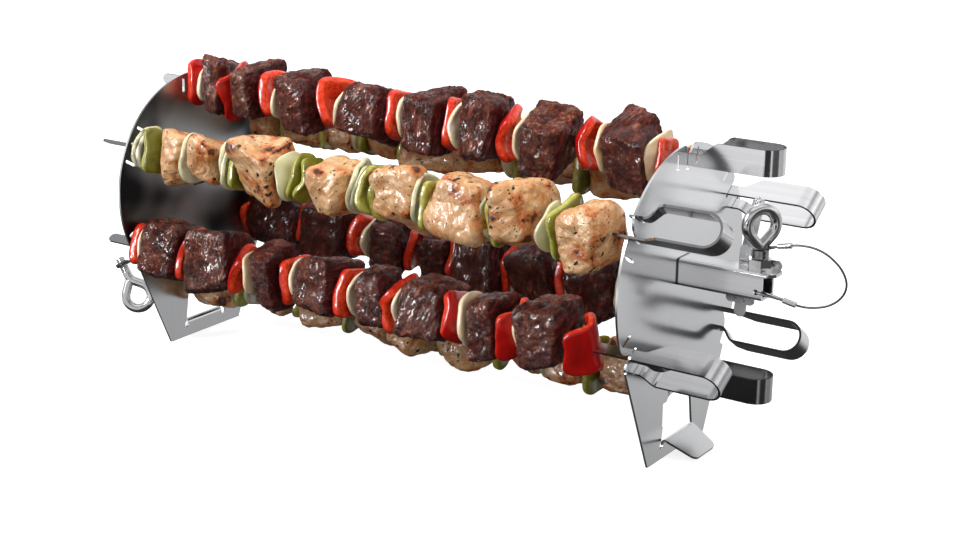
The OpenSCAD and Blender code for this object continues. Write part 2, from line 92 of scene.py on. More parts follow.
# The photo's view, solved from the outlines of the two end plates
AZIMUTH, ELEVATION, ROLL = (math.radians(a) for a in (34.28, 17.23, 0.39))
camera = bpy.data.objects.new("camera", bpy.data.cameras.new("camera"))
scene.collection.objects.link(camera)
camera.data.lens = 65.5
camera.data.sensor_width = 36
camera.location = (0.6696, -0.9088, 0.3144)
back = Vector(
    (
        math.sin(AZIMUTH) * math.cos(ELEVATION),
        -math.cos(AZIMUTH) * math.cos(ELEVATION),
        math.sin(ELEVATION),
    )
)
camera.rotation_mode = "QUATERNION"
camera.rotation_quaternion = (
    Matrix.Rotation(ROLL, 3, back) @ (-back).to_track_quat("-Z", "Y").to_matrix()
).to_quaternion()
scene.camera = camera


# ---------------------------------------------------------------- mesh tools


def noise(points, scale, seed):
    """Smooth gradient noise, about -1 to 1, with features of 1 / scale."""
    p = np.asarray(points) * scale + seed * 7.31
    cell = np.floor(p).astype(np.int64)
    f = p - cell
    u = f * f * f * (f * (f * 6 - 15) + 10)
    total = np.zeros(len(p))
    for corner in range(8):
        c = np.array([corner >> 2 & 1, corner >> 1 & 1, corner & 1])
        i = cell + c
        # A hash of the corner gives its gradient
        h = (i[:, 0] * 73856093) ^ (i[:, 1] * 19349663) ^ (i[:, 2] * 83492791)
        h = ((h ^ (h >> 13)) * 1274126177) & 0xFFFFFFFF
        h = ((h ^ (h >> 15)) * 2246822519) & 0xFFFFFFFF
        g = np.stack([(h >> s & 1023) / 511.5 - 1 for s in (2, 12, 21)], 1)
        w = np.prod(np.where(c == 1, u, 1 - u), axis=1)
        total += w * np.sum(g * (f - c), axis=1)
    return total * 1.6


def smoothstep(a, b, x):
    """0 up to a, 1 from b on, and a smooth rise between."""
    t = np.clip((x - a) / (b - a), 0, 1)
    return t * t * (3 - 2 * t)


def point_normals(verts, quads):
    """Unit normals at the points of a mesh of quads."""
    a, b, c, d = (verts[quads[:, k]] for k in range(4))
    face = np.cross(c - a, d - b)
    normal = np.zeros_like(verts)
    for k in range(4):
        np.add.at(normal, quads[:, k], face)
    return normal / np.maximum(np.linalg.norm(normal, axis=1), 1e-12)[:, None]


class Build:
    """Gathers quads and their attributes, and makes one object of them."""

    def __init__(self, name):
        self.name, self.count = name, 0
        self.verts, self.quads, self.attributes = [], [], {}

    def add(self, verts, quads, **attributes):
        self.verts.append(verts)
        self.quads.append(quads + self.count)
        for key, value in attributes.items():
            value = np.asarray(value, float)
            full = np.broadcast_to(value, (len(verts), *value.shape[1:]))
            self.attributes.setdefault(key, []).append(full)
        self.count += len(verts)

    def finish(self, material, body, replaced):
        """Makes the piece, on a body or on none yet, in place of one CAD node."""
        mesh = bpy.data.meshes.new(self.name)
        verts = np.vstack(self.verts) * MM
        mesh.from_pydata(verts.tolist(), [], np.vstack(self.quads).tolist())
        for key, rows in self.attributes.items():
            values = np.concatenate(rows).astype(np.float32)
            kind, field = ("FLOAT", "value") if values.ndim == 1 else ("FLOAT_VECTOR", "vector")
            mesh.attributes.new(key, kind, "POINT").data.foreach_set(field, values.ravel())
        mesh.polygons.foreach_set("use_smooth", [True] * len(mesh.polygons))
        mesh.materials.append(material)
        mesh.update()
        piece = bpy.data.objects.new(self.name, mesh)
        scene.collection.objects.link(piece)
        if body:
            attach(piece, body)
        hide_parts(replaced)
        return piece


def end_cap(first, count, flip):
    """Quads that close a ring of so many points, which begins at one index."""
    i = first + np.arange(count)
    quads = [
        [i[m], i[m + 1], i[count - 2 - m], i[count - 1 - m]]
        for m in range(count // 2 - 1)
    ]
    return np.array(quads)[:, ::-1] if flip else np.array(quads)


def tube(build, path, radius, sides):
    """Sweeps a round section along a path with closed ends.

    radius is a function of (distance along, angle) in mm and radians.
    """
    path = np.array(path, float)
    step = np.linalg.norm(np.diff(path, axis=0), axis=1)
    along = np.concatenate([[0], np.cumsum(step)])
    tangent = np.gradient(path, axis=0)
    tangent /= np.linalg.norm(tangent, axis=1)[:, None]
    side = np.cross(tangent[0], [0.31, 0.87, 0.42])
    side /= np.linalg.norm(side)
    angle = np.linspace(0, 2 * math.pi, sides, endpoint=False)
    rings = []
    for k, t in enumerate(tangent):
        side = side - t * (side @ t)
        side /= np.linalg.norm(side)
        other = np.cross(t, side)
        r = np.broadcast_to(radius(along[k], angle), angle.shape)[:, None]
        ring = np.cos(angle)[:, None] * side + np.sin(angle)[:, None] * other
        rings.append(path[k] + r * ring)
    # Each end closes over a ring of almost no size
    shrink = 0.02
    rings = [path[0] + (rings[0] - path[0]) * shrink, *rings]
    rings = [*rings, path[-1] + (rings[-1] - path[-1]) * shrink]
    last = len(rings) - 1
    k, s = np.meshgrid(np.arange(last), np.arange(sides), indexing="ij")
    a, b = (k * sides + s).ravel(), (k * sides + (s + 1) % sides).ravel()
    quads = np.stack([a, b, b + sides, a + sides], 1)
    caps = [end_cap(0, sides, True), end_cap(last * sides, sides, False)]
    build.add(np.vstack(rings), np.vstack([quads, *caps]))


def spline(points, steps):
    """Catmull-Rom curve through the points, with so many steps between two."""
    p = np.array(points, float)
    out = []
    for i in range(len(p) - 1):
        a, b, c, d = p[max(i - 1, 0)], p[i], p[i + 1], p[min(i + 2, len(p) - 1)]
        for k in range(steps):
            t = k / steps
            square, cube = 2 * a - 5 * b + 4 * c - d, 3 * b - a - 3 * c + d
            out.append(0.5 * (2 * b + (c - a) * t + square * t * t + cube * t**3))
    return np.array([*out, p[-1]])


# ---------------------------------------------------------------- node tools


class Nodes:
    """Short ways to add nodes to the tree of a material or of the world."""

    def __init__(self, tree):
        self.tree = tree

    def node(self, kind, inputs=None, **properties):
        node = self.tree.nodes.new("ShaderNode" + kind)
        for key, value in properties.items():
            setattr(node, key, value)
        for key, value in (inputs or {}).items():
            self.put(node.inputs[key], value)
        return node

    def put(self, socket, value):
        if isinstance(value, bpy.types.NodeSocket):
            self.tree.links.new(value, socket)
        else:
            socket.default_value = value

    def split(self, vector):
        """The X, Y and Z of a vector."""
        return self.node("SeparateXYZ", {0: vector}).outputs

    def dot(self, vector, way):
        return self.node("VectorMath", {0: vector, 1: way}, operation="DOT_PRODUCT").outputs["Value"]

    def scaled(self, vector, factor):
        return self.node("VectorMath", {0: vector, "Scale": factor}, operation="SCALE").outputs[0]

    def ramp(self, value, low, high, start=0.0, end=1.0):
        """Goes smoothly from start, below low, to end, above high."""
        limits = {"From Min": low, "From Max": high, "To Min": start, "To Max": end}
        inputs = {"Value": value, **limits}
        return self.node("MapRange", inputs, interpolation_type="SMOOTHSTEP").outputs["Result"]

    def range(self, value, low, high):
        """Maps 0 to 1 onto low to high."""
        inputs = {"Value": value, "To Min": low, "To Max": high}
        return self.node("MapRange", inputs).outputs["Result"]

    def math(self, operation, a, b=0.0):
        return self.node("Math", {0: a, 1: b}, operation=operation).outputs[0]

    def mix(self, factor, a, b):
        """A colour between a, at factor 0, and b, at factor 1."""
        node = self.node("Mix", data_type="RGBA")
        self.put(node.inputs["Factor"], factor)
        for socket, value in ((node.inputs[6], a), (node.inputs[7], b)):
            self.put(socket, (*value, 1) if isinstance(value, tuple) else value)
        return node.outputs[2]


class Shader(Nodes):
    """A material, and the textures made from its coordinates."""

    def __init__(self, name, **values):
        self.material = bpy.data.materials.new(name)
        self.material.use_nodes = True
        super().__init__(self.material.node_tree)
        self.bsdf = self.tree.nodes["Principled BSDF"]
        self.set(**values)
        places = self.node("TexCoord").outputs
        self.coords, self.normals = places["Object"], places["Normal"]

    def set(self, **values):
        for socket, value in values.items():
            self.put(self.bsdf.inputs[socket.replace("_", " ")], value)

    def mapped(self, scale, turn=(0, 0, 0)):
        """Object coordinates, turned and scaled; scale may differ by axis."""
        inputs = {"Vector": self.coords, "Scale": scale, "Rotation": turn}
        return self.node("Mapping", inputs).outputs["Vector"]

    def stretched(self, vector, scale):
        return self.node("VectorMath", {0: vector, 1: scale}, operation="MULTIPLY").outputs[0]

    def attribute(self, name, output="Fac"):
        return self.node("Attribute", attribute_name=name).outputs[output]

    def noise(self, scale, detail=4, rough=0.55, distortion=0, vector=None, output="Fac"):
        inputs = {
            "Vector": vector or self.coords,
            "Scale": scale,
            "Detail": detail,
            "Roughness": rough,
            "Distortion": distortion,
        }
        return self.node("TexNoise", inputs).outputs[output]

    def bump(self, height, strength, distance, normal=None):
        inputs = {"Height": height, "Strength": strength, "Distance": distance}
        if normal:
            inputs["Normal"] = normal
        return self.node("Bump", inputs).outputs["Normal"]


# ---------------------------------------------------------------- metals


def rolled_grain(s, along, share, stains):
    """Fine grain of rolled steel, and a tone that has a share of it among stains."""
    grain = s.noise(1, 3, 0.6, vector=s.mapped(along))
    tone = s.math("ADD", s.math("MULTIPLY", grain, share), s.math("MULTIPLY", stains, 1 - share))
    return grain, tone


def sheet_steel(name, light, dark, rough, along, edge=None, edge_axis=None):
    """Rolled stainless sheet: a faint grain along one way, soft stains, fine scratches.

    edge is a dark colour painted on the cut edges as a painted reflection; they face along edge_axis and are
    rougher.
    """
    s = Shader(name, Metallic=1.0)
    tone = rolled_grain(s, along, 0.55, s.noise(14, 3, 0.5))[1]
    colour = s.mix(s.ramp(tone, 0.3, 0.7), dark, light)
    gloss = s.range(tone, rough * 0.75, rough * 1.25)
    # Painted reflection: the cut edges take the dark edge colour
    if edge:
        facing = s.math("ABSOLUTE", s.dot(s.normals, edge_axis))
        mask = s.ramp(facing, 0.75, 0.9)
        colour = s.mix(mask, colour, edge)
        gloss = s.math("ADD", gloss, s.math("MULTIPLY", mask, 0.4))
    s.set(Base_Color=colour, Roughness=gloss)
    scratches = s.noise(1, 2, 0.7, vector=s.mapped([v * 2.7 for v in along], (0.3, 0.2, 0.1)))
    s.set(Normal=s.bump(scratches, 0.05, 0.0002))
    return s.material


def turned_steel(name, light, dark, rough):
    """Bright machined or polished steel with a little variation."""
    s = Shader(name, Metallic=1.0)
    cloud = s.noise(90, 4, 0.6)
    s.set(Base_Color=s.mix(s.ramp(cloud, 0.3, 0.7), dark, light))
    s.set(Roughness=s.range(cloud, rough * 0.7, rough * 1.3))
    return s.material


def rope_steel(name):
    """Twisted wire rope, with shade painted dark between its strands."""
    s = Shader(name, Metallic=1.0)
    groove_shade = s.attribute("groove_shade")
    s.set(Base_Color=s.mix(groove_shade, (0.15, 0.15, 0.155), (0.02, 0.02, 0.022)))
    s.set(Roughness=s.range(s.noise(600, 2), 0.3, 0.5))
    return s.material


def end_plate_steel():
    """The plates: bright mirror-like sheet, with a dark reflection painted inside the left disc."""
    s = Shader("plate_steel", Metallic=1.0)
    grain, tone = rolled_grain(s, (10, 420, 14), 0.15, s.noise(9, 3, 0.5))
    bright = s.mix(s.ramp(tone, 0.3, 0.7), (0.76, 0.765, 0.77), (0.86, 0.865, 0.87))
    place = s.split(s.coords)
    inside = s.math("LESS_THAN", place["X"], 0.0)
    inside = s.math("MULTIPLY", inside, s.ramp(s.split(s.normals)["X"], 0.8, 0.95))
    inside = s.math("MULTIPLY", inside, s.ramp(place["Z"], -0.085, -0.055))
    # Painted reflection: the inner face of the left disc is painted dark and mottled, for the dark it
    # reflects
    dark_reflection = s.mix(s.ramp(s.noise(13, 2), 0.42, 0.62), (0.035, 0.04, 0.043), (0.62, 0.66, 0.68))
    s.set(Base_Color=s.mix(inside, bright, dark_reflection))
    s.set(Roughness=s.math("ADD", s.range(tone, 0.14, 0.2), s.math("MULTIPLY", inside, 0.2)))
    s.set(Normal=s.bump(grain, 0.012, 0.0002))
    return s.material


def hub_tube_steel():
    """The hub tubes, with painted shade along their folds and a painted shadow line at the weld to the
    plate.
    """
    s = Shader("hub_steel", Metallic=1.0)
    grain, tone = rolled_grain(s, (8, 500, 500), 0.4, s.noise(30, 2))
    colour = s.mix(s.ramp(tone, 0.3, 0.7), (0.78, 0.78, 0.79), (0.9, 0.9, 0.91))
    place = s.split(s.coords)
    low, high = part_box("right_hub_tube")
    height = s.math("SUBTRACT", place["Z"], (low.z + high.z) / 2)
    # Painted shade: the side faces are painted darker towards their top and bottom folds
    fold_shade = s.ramp(s.math("ABSOLUTE", height), 0.0035, 0.0085)
    side_face = s.ramp(s.math("ABSOLUTE", s.split(s.normals)["Y"]), 0.6, 0.9)
    fold_shade = s.math("MULTIPLY", fold_shade, side_face)
    colour = s.mix(s.math("MULTIPLY", fold_shade, 0.62), colour, (0.16, 0.16, 0.165))
    # Painted shadow: a dark line on the tube where it meets the plate
    weld = s.math("SUBTRACT", s.math("ABSOLUTE", place["X"]), FACE_X * MM)
    colour = s.mix(s.ramp(weld, 0.0014, 0.0004), colour, (0.05, 0.05, 0.05))
    s.set(Base_Color=colour, Roughness=s.range(tone, 0.13, 0.22))
    s.set(Normal=s.bump(grain, 0.04, 0.0002))
    return s.material


materials = {
    "plate": end_plate_steel(),
    "hub": hub_tube_steel(),
    "nut": turned_steel("nut_steel", (0.74, 0.73, 0.72), (0.5, 0.5, 0.5), 0.12),
    "bolt": turned_steel("bolt_steel", (0.8, 0.8, 0.8), (0.66, 0.66, 0.67), 0.17),
    "washer": turned_steel("washer_steel", (0.46, 0.46, 0.46), (0.26, 0.26, 0.27), 0.16),
    "sleeve": turned_steel("sleeve_steel", (0.84, 0.84, 0.84), (0.68, 0.68, 0.69), 0.26),
    "clip": sheet_steel("clip_steel", (0.82, 0.82, 0.83), (0.68, 0.68, 0.69), 0.18, (400, 400, 10)),
    "rope": rope_steel("rope_steel"),
}


# Painted reflection: how much lighter or darker a skewer's steel is painted beside the others, for the
# brighter or darker room it reflects
SKEWER_PAINTED_LIGHT = {2: 1.12, 4: 0.6, 5: 0.8}


def skewer_steel(i):
    """Strip steel of one skewer, whose cut edges face along its own radius."""
    a = SKEWER_ANGLES[i]
    painted_light = SKEWER_PAINTED_LIGHT.get(i, 1.0)
    light, dark = (tuple(v * painted_light for v in c) for c in ((0.86, 0.86, 0.87), (0.74, 0.74, 0.75)))
    # The near-black edge colour is a painted reflection on the cut edges
    return sheet_steel(
        f"skewer_steel_{i}",
        light,
        dark,
        rough=0.13,
        along=(9, 330, 330),
        edge=(0.08, 0.08, 0.083),
        edge_axis=(0, math.cos(a), math.sin(a)),
    )


def dress(node, material):
    """Gives a CAD node its finish."""
    data = nodes[node].data
    data.materials.clear()
    data.materials.append(material)


for side in ("right", "left"):
    dress(f"{side}_end_plate", materials["plate"])
    dress(f"{side}_hub_tube", materials["hub"])
    dress(f"{side}_clamp_nut", materials["nut"])
dress("right_jam_washers", materials["washer"])
dress("left_stop_washer", materials["washer"])
dress("hub_strip_clip", materials["clip"])
dress("strip_clip_rivets", materials["nut"])
for i in SKEWER_ANGLES:
    dress(f"skewer_{i}", skewer_steel(i))


# ---------------------------------------------------------------- lanyards

# Middle of the rope, in mm, the right one from the plate's outer face
RIGHT_ROUTE = [
    (77.7, -6.5, -4.3), (83, -6.2, -4.6), (89, -5.9, -3.8), (95, -5.5, -2.1),
    (100.2, -5, 0.8), (104, -4.4, 4.6), (106, -3.8, 8.8), (106.2, -3.2, 13.2),
    (104.4, -2.6, 17.6), (101.2, -2, 21.6), (97, -1.5, 24.9), (92.2, -1, 27.6),
    (87, -0.6, 29.3), (81.6, -0.3, 30.1), (76.4, 0, 30), (73.2, 0, 29.7),
    (70.2, 0, 29.1),
]  # fmt: skip
LEFT_ROUTE = [
    (-260.4, -7.4, -19.4), (-260.2, -7, -24), (-258.9, -4.6, -29), (-256.6, 0, -33.4),
    (-253.6, 6, -37.6), (-251, 11.4, -42.4), (-249.6, 14.8, -48), (-249.8, 15.2, -54),
    (-251.2, 12.8, -59.2), (-253.6, 8.6, -63.2), (-256.2, 4.8, -66), (-258.4, 2.1, -67.5),
]  # fmt: skip


STRANDS = 6
TWIST_PITCH = 8.0
GROOVE = 0.14  # depth of the grooves between strands, as a part of the rope's radius
ROPE_SIDES = 24
ROPE_STEP = 0.35


def rope_radius(along, angle):
    """Radius of the twisted rope round its centreline."""
    twist = STRANDS / 2 * (angle - 2 * math.pi * along / TWIST_PITCH)
    return WIRE_D / 2 * (1 - GROOVE + GROOVE * np.abs(np.sin(twist)))


def rope(name, path, body, replaced):
    """One piece of wire rope, and its centreline and its length in metres."""
    build = Build(name)
    length = np.linalg.norm(np.diff(path, axis=0), axis=1)
    along = np.concatenate([[0], np.cumsum(length)])
    even = np.linspace(0, along[-1], int(along[-1] / ROPE_STEP))
    path = np.stack([np.interp(even, along, path[:, k]) for k in range(3)], 1)
    tube(build, path, rope_radius, ROPE_SIDES)
    # Painted shade: dark where the section is narrow, between the strands; the cut ends are dark too
    verts = build.verts[0][ROPE_SIDES:-ROPE_SIDES].reshape(-1, ROPE_SIDES, 3)
    reach = np.linalg.norm(verts - path[:, None], axis=2) / (WIRE_D / 2)
    depth = (1 - reach) / GROOVE
    end = [1] * ROPE_SIDES
    build.attributes["groove_shade"] = [np.concatenate([end, depth.ravel(), end])]
    piece = build.finish(materials["rope"], body, replaced)
    return piece, path * MM, along[-1] * MM


right_path = spline([(x + FACE_X, y, z) for x, y, z in RIGHT_ROUTE], 8)
left_path = spline(LEFT_ROUTE, 8)
right_cable, right_line, right_length = rope(
    "right_wire_rope", right_path, None, "right_lanyard_cable"
)
left_cable, left_line, left_length = rope(
    "left_wire_rope", left_path, "left_bolt", "left_lanyard_cable"
)
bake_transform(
    right_cable,
    "right_plate",
    "right_lanyard_end",
    start=right_line[int(len(right_line) * 0.2)],
    end=right_line[-1],
)


def crimp_sleeve(name, start, direction, body, replaced):
    """Pressed sleeve with rolled ends and three crimps."""
    length, end_roll, crimp_width, crimp_depth = 9, 0.5, 0.75, 0.24
    start, direction = np.array(start, float), np.array(direction, float)
    direction /= np.linalg.norm(direction)
    path = [start + direction * length * t for t in np.linspace(0, 1, 41)]

    def radius(along, angle):
        end = min(along, length - along)
        r = SLEEVE_D / 2 * (1 - 0.18 * max(0, 1 - end / end_roll) ** 2)
        for crimp in (0.25, 0.5, 0.75):
            dent = math.exp(-(((along - crimp * length) / crimp_width) ** 2))
            r = r - crimp_depth * dent * (0.55 + 0.45 * np.cos(2 * angle))
        return r

    build = Build(name)
    tube(build, path, radius, sides=28)
    return build.finish(materials["sleeve"], body, replaced)


# From a bolt to the sleeve on its rope, out along the rope, and up on the right one
LOOP_REACH = 11.0
LOOP_RISE = 2.6
# Frames of the rope loops: level round the right bolt's neck, and upside down, with the
# bolt hanging in it, for the loose left one
BOLT_X = FACE_X + 50
LOOP_Z = 24.4
HANG = (
    Matrix.Translation((-271.5, -11, -76.2))
    @ Matrix.Rotation(math.radians(-34), 4, "Y")
    @ Matrix.Rotation(math.radians(40), 4, "Z")
    @ Matrix.Rotation(math.pi, 4, "X")
)
RIGHT_BOLT = Matrix.Translation((BOLT_X, 0, LOOP_Z))


def placed(matrix, points):
    """Points put through a matrix, as an array."""
    return np.array([matrix @ Vector(p) for p in points])


def bolt_loop(name, matrix, rise, body, replaced):
    """Rope round the bolt, with both legs in the sleeve, which stands higher by a rise."""
    loop_r = ROD_R + WIRE_D / 2 + 0.3
    apart = WIRE_D / 2 + 0.02

    def leg(x, y):
        return (x, y, rise * (x / LOOP_REACH) ** 2 if x > 0 else 0)

    turn = [math.radians(48 + 264 * k / 16) for k in range(17)]
    route = [leg(LOOP_REACH + 1, apart), leg(LOOP_REACH - 3, apart + 0.6)]
    route += [leg(loop_r * math.cos(t), loop_r * math.sin(t)) for t in turn]
    route += [leg(LOOP_REACH - 3, -apart - 0.6), leg(LOOP_REACH + 1, -apart)]
    return rope(name, placed(matrix, spline(route, 6)), body, replaced)[0]


def bolt_sleeve(name, matrix, rise, body, replaced):
    """The sleeve that holds a bolt's rope loop, tilted up with the loop's legs."""
    tilt = math.radians(5 * rise)
    start = matrix @ Vector((LOOP_REACH, 0, rise))
    way = matrix.to_3x3() @ Vector((math.cos(tilt), 0, math.sin(tilt)))
    return crimp_sleeve(name, start, way, body, replaced)


right_loop = bolt_loop(
    "right_bolt_rope_loop", RIGHT_BOLT, LOOP_RISE, "right_lanyard_end", "right_bolt_loop"
)
right_sleeve = bolt_sleeve(
    "right_bolt_crimp", RIGHT_BOLT, LOOP_RISE, "right_lanyard_end", "right_bolt_sleeve"
)
left_loop = bolt_loop("left_bolt_rope_loop", HANG, 0, "left_bolt", "left_bolt_loop")
left_sleeve = bolt_sleeve("left_bolt_crimp", HANG, 0, "left_bolt", "left_bolt_sleeve")
for node in ("right_hub_loop", "right_hub_sleeve", "left_hub_loop", "left_hub_sleeve"):
    dress(node, materials["sleeve" if "sleeve" in node else "rope"])


# ---------------------------------------------------------------- eye bolts

EYE_R = 9.5
EYE_Z = 38.5
BOLT_L = 32.5
NECK_Z = -16.2  # where the straight shank ends, from the middle of the eye
THREAD_L = 13.0
THREAD_PITCH = 1.25
THREAD_DEPTH = 0.42
TIP_CHAMFER = 0.8


def eye_bolt(name, matrix, body, replaced):
    """Bolt bent from one rod: threaded shank, neck, and an eye that closes on the neck."""
    shank = [(0, 0, z) for z in np.linspace(-BOLT_L, NECK_Z, 104)]
    start, end = math.radians(-40), math.radians(220)
    eye = [
        (EYE_R * math.cos(t), 0, EYE_R * math.sin(t))
        for t in np.linspace(start, end, 64)
    ]
    neck = [(0, 0, -17.4), (0, 0, NECK_Z), (1.3, 0, -12.6), (4.4, 0, -9.2), eye[0], eye[2]]
    # The free end runs straight on until it meets the neck
    tail = [
        (eye[-1][0] - t * math.sin(end), 0, eye[-1][2] + t * math.cos(end))
        for t in np.linspace(0.7, 9.2, 13)
    ]
    path = np.array([*shank[:-1], *spline(neck, 10)[10:-10], *eye[1:], *tail])

    def radius(along, angle):
        wave = (along / THREAD_PITCH - angle / (2 * math.pi)) % 1
        depth = THREAD_DEPTH * (1 - np.abs(2 * wave - 1))
        fade = 1 - smoothstep(THREAD_L - 1, THREAD_L, along)
        tip = TIP_CHAMFER * max(0, 1 - along / TIP_CHAMFER)
        return ROD_R - 0.03 - depth * fade - tip

    build = Build(name)
    tube(build, path, radius, sides=32)
    build.verts = [placed(matrix, build.verts[0])]
    return build.finish(materials["bolt"], body, replaced)


eye_bolt(
    "right_bent_eye_bolt",
    Matrix.Translation((BOLT_X, 0, EYE_Z)) @ Matrix.Rotation(math.radians(53), 4, "Z"),
    "right_bolt",
    "right_eye_bolt",
)
eye_bolt(
    "left_bent_eye_bolt",
    HANG @ Matrix.Translation((0, 0, BOLT_L - 6)),
    "left_bolt",
    "left_eye_bolt",
)


# ---------------------------------------------------------------- food materials


def beef_material():
    """Seared beef: streaky brown faces, maroon cut ends, dark edges, and a wet shine."""
    s = Shader("beef", IOR=1.42, Subsurface_Weight=0.05, Subsurface_Scale=0.002)
    local = s.attribute("local", "Vector")
    fibre = s.noise(460, 5, 0.66, 0.3, vector=s.stretched(local, (1, 1, 0.1)))
    fine = s.noise(800, 4, 0.65, vector=local)
    patch = s.noise(100, 5, 0.6, 0.5, vector=local)
    strand = s.math("ABSOLUTE", s.math("SUBTRACT", fibre, 0.5))
    crack = s.math("SUBTRACT", 1.0, s.ramp(strand, 0.0, 0.06))

    tone = s.attribute("tone")
    middle = s.mix(tone, (0.17, 0.021, 0.012), (0.34, 0.09, 0.048))
    seared = s.mix(s.ramp(patch, 0.36, 0.62), (0.075, 0.01, 0.006), middle)
    grain = s.math("MULTIPLY", s.ramp(fibre, 0.58, 0.34), 0.8)
    seared = s.mix(grain, seared, (0.024, 0.004, 0.003))
    pale = s.mix(s.ramp(fibre, 0.35, 0.7), (0.14, 0.05, 0.03), (0.36, 0.19, 0.12))
    pale_mask = s.math("MULTIPLY", s.ramp(patch, 0.5, 0.7), tone)
    seared = s.mix(pale_mask, seared, pale)
    cut = s.mix(s.ramp(fibre, 0.3, 0.7), (0.045, 0.007, 0.005), (0.16, 0.026, 0.02))
    body = s.mix(s.attribute("cut"), seared, cut)
    # Painted shade: the cracks between the fibres are painted near black
    body = s.mix(s.math("MULTIPLY", crack, 0.7), body, (0.01, 0.003, 0.003))
    char = s.mix(s.ramp(fine, 0.4, 0.7), (0.011, 0.005, 0.004), (0.045, 0.015, 0.011))
    burnt = s.math("ADD", s.attribute("crust"), s.math("MULTIPLY", patch, 0.8))
    s.set(Base_Color=s.mix(s.ramp(burnt, 0.72, 1.15), body, char))

    dry = s.ramp(s.noise(75, 4, 0.6, vector=local), 0.38, 0.62)
    s.set(Roughness=s.range(dry, 0.16, 0.5), Specular_IOR_Level=s.range(dry, 0.45, 0.12))
    s.set(Coat_Weight=s.range(dry, 0.35, 0.0), Coat_Roughness=0.08)
    normal = s.bump(patch, 0.9, 0.0036)
    normal = s.bump(s.math("SUBTRACT", fibre, s.math("MULTIPLY", crack, 0.2)), 1.0, 0.0022, normal)
    s.set(Normal=s.bump(fine, 0.6, 0.0006, normal))
    return s.material


def flecks(s, vector, scale, share):
    """Mask of scattered specks of uneven size, a share of one cell in 1 / scale."""
    cell = s.node("TexVoronoi", {"Vector": vector, "Scale": scale})
    split = s.node("SeparateColor", {"Color": cell.outputs["Color"]})
    size = s.range(split.outputs["Green"], 0.12, 0.36)
    mask = s.math("LESS_THAN", cell.outputs["Distance"], size)
    return s.math("MULTIPLY", mask, s.math("LESS_THAN", split.outputs["Red"], share))


def chicken_material():
    """Grilled chicken: pale flesh, browned edges, oil, and chopped herbs."""
    s = Shader("chicken", IOR=1.42, Subsurface_Weight=0.15, Subsurface_Scale=0.003)
    s.set(Subsurface_Radius=(1.0, 0.55, 0.3))
    local = s.attribute("local", "Vector")
    fine = s.noise(420, 5, 0.6, vector=local)
    patch = s.noise(75, 4, 0.6, 0.5, vector=local)
    fibre = s.noise(330, 3, 0.55, 0.5, vector=s.stretched(local, (1, 1, 0.2)))
    crust = s.attribute("crust")
    flesh = s.mix(s.ramp(patch, 0.32, 0.68), (0.6, 0.36, 0.185), (0.49, 0.23, 0.078))
    # Paler streaks along the fibres: a painted highlight
    flesh = s.mix(s.math("MULTIPLY", s.ramp(fibre, 0.5, 0.72), 0.55), flesh, (0.76, 0.58, 0.4))
    gold = s.mix(s.ramp(fine, 0.3, 0.7), (0.5, 0.16, 0.036), (0.34, 0.08, 0.018))
    edge = s.math("ADD", crust, s.math("MULTIPLY", s.math("ADD", patch, fine), 0.45))
    colour = s.mix(s.ramp(edge, 0.48, 0.92), flesh, gold)
    char = s.mix(s.ramp(fine, 0.35, 0.65), (0.12, 0.036, 0.014), (0.02, 0.009, 0.006))
    colour = s.mix(s.ramp(edge, 0.9, 1.08), colour, char)

    # Chopped herbs and cracked pepper, in drifts
    shake = s.noise(900, 2, 0.5, vector=local, output="Color")
    shake = s.node("VectorMath", {0: shake, 1: (0.5, 0.5, 0.5)}, operation="SUBTRACT").outputs[0]
    shake = s.scaled(shake, 0.0022)
    warp = s.node("VectorMath", {0: local, 1: shake}, operation="ADD").outputs[0]
    herbs = flecks(s, s.stretched(warp, (1, 0.45, 1)), 250, 0.5)
    pepper = flecks(s, warp, 560, 0.4)
    drift = s.ramp(s.noise(42, 2, vector=local), 0.38, 0.5)
    herbs = s.math("MULTIPLY", s.math("MAXIMUM", herbs, pepper), drift)
    s.set(Base_Color=s.mix(herbs, colour, (0.022, 0.018, 0.009)))

    s.set(Roughness=s.range(s.ramp(patch, 0.3, 0.7), 0.24, 0.48))
    s.set(Coat_Weight=0.25, Coat_Roughness=0.1, Specular_IOR_Level=0.4)
    normal = s.bump(patch, 0.8, 0.003)
    normal = s.bump(s.math("ADD", fibre, s.math("MULTIPLY", herbs, 0.3)), 0.6, 0.0012, normal)
    s.set(Normal=s.bump(fine, 0.4, 0.0004, normal))
    return s.material


def skin_material(name, skin, skin_dark, flesh, flesh_pale, rough, coat):
    """Pepper or onion: glossy skin outside, moist flesh inside and on the cut rim."""
    s = Shader(name, IOR=1.45, Subsurface_Weight=0.1, Subsurface_Scale=0.002)
    patch = s.noise(60, 4, 0.5, 0.3)
    fine = s.noise(420, 3, 0.6)
    outside = s.mix(s.ramp(patch, 0.3, 0.75), skin, skin_dark)
    inside = s.mix(s.ramp(fine, 0.35, 0.75), flesh, flesh_pale)
    colour = s.mix(s.attribute("skin"), inside, outside)
    burnt = s.ramp(s.math("ADD", s.attribute("crust"), s.math("MULTIPLY", patch, 0.6)), 0.9, 1.2)
    colour = s.mix(burnt, colour, (0.05, 0.022, 0.012))
    s.set(Base_Color=colour)
    s.set(Roughness=s.range(fine, rough * 0.7, rough * 1.3))
    s.set(Coat_Weight=coat, Coat_Roughness=0.07, Specular_IOR_Level=0.36)
    s.set(Normal=s.bump(s.math("ADD", patch, s.math("MULTIPLY", fine, 0.25)), 0.35, 0.001))
    return s.material


